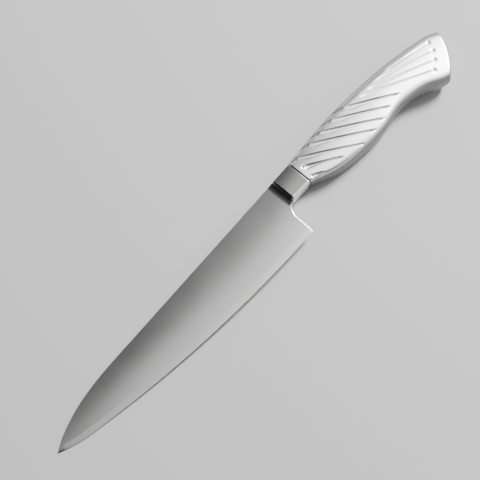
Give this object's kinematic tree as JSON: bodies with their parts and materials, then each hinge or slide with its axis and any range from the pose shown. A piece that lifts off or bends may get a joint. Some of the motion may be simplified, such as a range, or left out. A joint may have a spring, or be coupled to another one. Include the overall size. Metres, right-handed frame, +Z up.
{
  "type": "kitchen utility knife",
  "caption": "All-steel kitchen knife with a straight-spined pointed blade, a bolster and a hollow handle with diagonal flutes, lying on its side.",
  "frame": {"origin": "on the counter, under the middle of the knife's bounding box, with the knife at rest on its side", "axes": "+X from the blade's tip to the handle's butt, +Y from the cutting edge to the spine, +Z up from the counter"},
  "size_m": [0.2656, 0.032, 0.016],
  "materials": {
    "blade_steel": "satin ground, fine lines from spine to edge",
    "bolster_steel": "fine satin",
    "handle_steel": "soft satin, nearly matt",
    "weld_steel": "ground flush"
  },
  "bodies": {
    "root": {"blade": "blade_steel", "bolster": "bolster_steel", "tang_weld": "weld_steel", "shell_left": "handle_steel", "shell_right": "handle_steel", "spine_weld": "weld_steel", "belly_weld": "weld_steel", "butt_weld": "weld_steel"}
  },
  "joints": []
}
